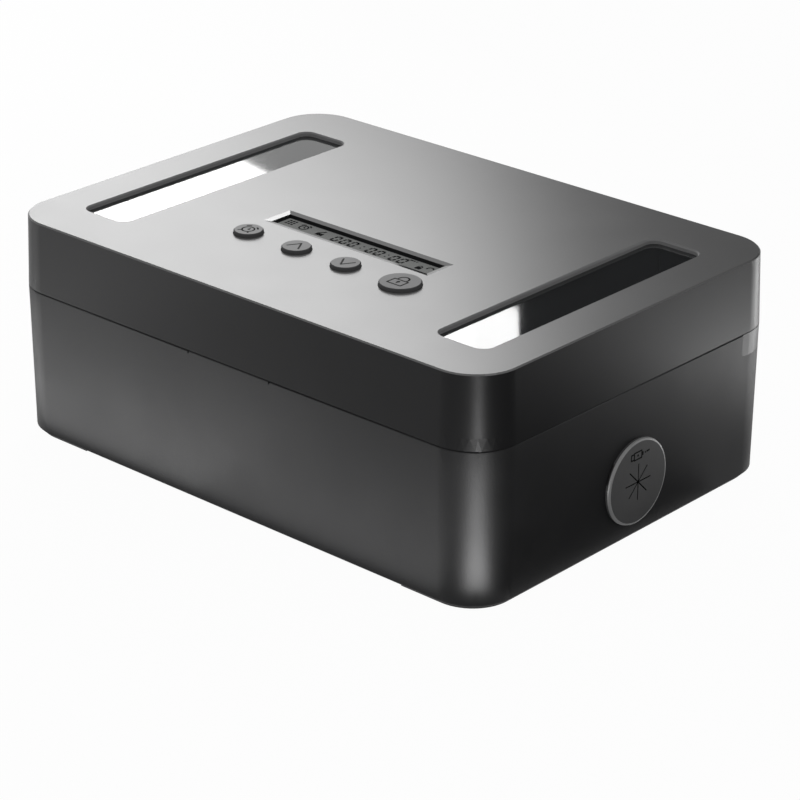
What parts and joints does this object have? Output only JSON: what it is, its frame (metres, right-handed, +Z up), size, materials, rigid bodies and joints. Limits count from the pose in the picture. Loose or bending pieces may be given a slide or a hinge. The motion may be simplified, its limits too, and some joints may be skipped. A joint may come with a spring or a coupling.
{
  "type": "timed lock container",
  "caption": "Rounded rectangular lock box whose hinged lid has a display, keys, side windows and a motor-driven bolt, with a cable grommet in one side.",
  "frame": {"origin": "on the resting surface, under the middle of the case's outline at the seam (the resting_centre point); the hinge makes the bounding box reach 3.2 mm further behind than in front", "axes": "+X towards the cable grommet, -Y towards the front, +Z up"},
  "size_m": [0.212, 0.1542, 0.08],
  "materials": {
    "case_plastic": "fine-grained matt moulded plastic",
    "lid_plastic": "smooth satin moulded plastic with a metallic grey top face",
    "clear_pane": "clear glossy window",
    "display_glass": "clear lens",
    "display_grey": "grey liquid crystal panel with dark digits",
    "white_frame": "white light frame",
    "key_plastic": "satin grey moulded key",
    "rubber_dark": "matt silicone rubber",
    "inner_plastic": "matt black moulded plastic",
    "lock_plastic": "natural acetal",
    "steel": "plated steel",
    "black_screw": "black-plated steel",
    "board_green": "green circuit board",
    "component_black": "moulded component",
    "cell_wrap": "plain wrapped battery cell",
    "brass_gear": "machined brass"
  },
  "bodies": {
    "case": {"case_shell": "case_plastic", "hinge_rail": "lid_plastic", "rail_screws": "black_screw", "hinge_pins": "steel", "foot_strips": "rubber_dark", "lock_keeper": "steel", "keeper_screws": "black_screw", "cable_grommet": "rubber_dark"},
    "lid": {"lid_shell": "lid_plastic", "window_pane_left": "clear_pane", "window_pane_right": "clear_pane", "display_lens": "display_glass", "display_panel": "display_grey", "display_backlight": "white_frame", "main_board": "board_green", "board_screws": "steel", "key_switches": "component_black", "controller_chip": "component_black", "buzzer": "component_black", "inner_cover": "inner_plastic", "cover_screws": "black_screw", "motor_gearbox": "brass_gear", "lock_motor": "steel", "bolt_guide": "inner_plastic", "motor_bracket": "inner_plastic", "lock_screws": "black_screw", "battery_holder": "inner_plastic", "battery_cells": "cell_wrap", "battery_contacts": "steel", "battery_door": "inner_plastic", "battery_door_screw": "black_screw"},
    "bolt": {"lock_bolt": "lock_plastic"},
    "pinion": {"lock_pinion": "brass_gear", "pinion_shaft": "steel"},
    "timer_key": {"timer_key": "key_plastic"},
    "up_key": {"up_key": "key_plastic"},
    "down_key": {"down_key": "key_plastic"},
    "lock_key": {"lock_key": "key_plastic"}
  },
  "joints": [
    {"name": "lid_hinge", "type": "hinge", "parent": "case", "child": "lid", "pos_m": [0, 0.0766, 0.05395], "axis": [-1, 0, 0], "range_deg": [0, 105]},
    {"name": "bolt_slide", "type": "slide", "parent": "lid", "child": "bolt", "axis": [0, -1, 0], "range_m": [0, 0.0036]},
    {"name": "pinion_spin", "type": "hinge", "parent": "lid", "child": "pinion", "pos_m": [0.0004, -0.0559, 0.06995], "axis": [-1, 0, 0], "range_deg": [0, 41.5]},
    {"name": "timer_key_press", "type": "slide", "parent": "lid", "child": "timer_key", "axis": [0, 0, -1], "range_m": [0, 0.0006], "stiffness_N_per_m": 600},
    {"name": "up_key_press", "type": "slide", "parent": "lid", "child": "up_key", "axis": [0, 0, -1], "range_m": [0, 0.0006], "stiffness_N_per_m": 600},
    {"name": "down_key_press", "type": "slide", "parent": "lid", "child": "down_key", "axis": [0, 0, -1], "range_m": [0, 0.0006], "stiffness_N_per_m": 600},
    {"name": "lock_key_press", "type": "slide", "parent": "lid", "child": "lock_key", "axis": [0, 0, -1], "range_m": [0, 0.0006], "stiffness_N_per_m": 600}
  ],
  "couplings": [
    {"joint": "pinion_spin", "follows": "bolt_slide", "rad_per_m": 200}
  ]
}
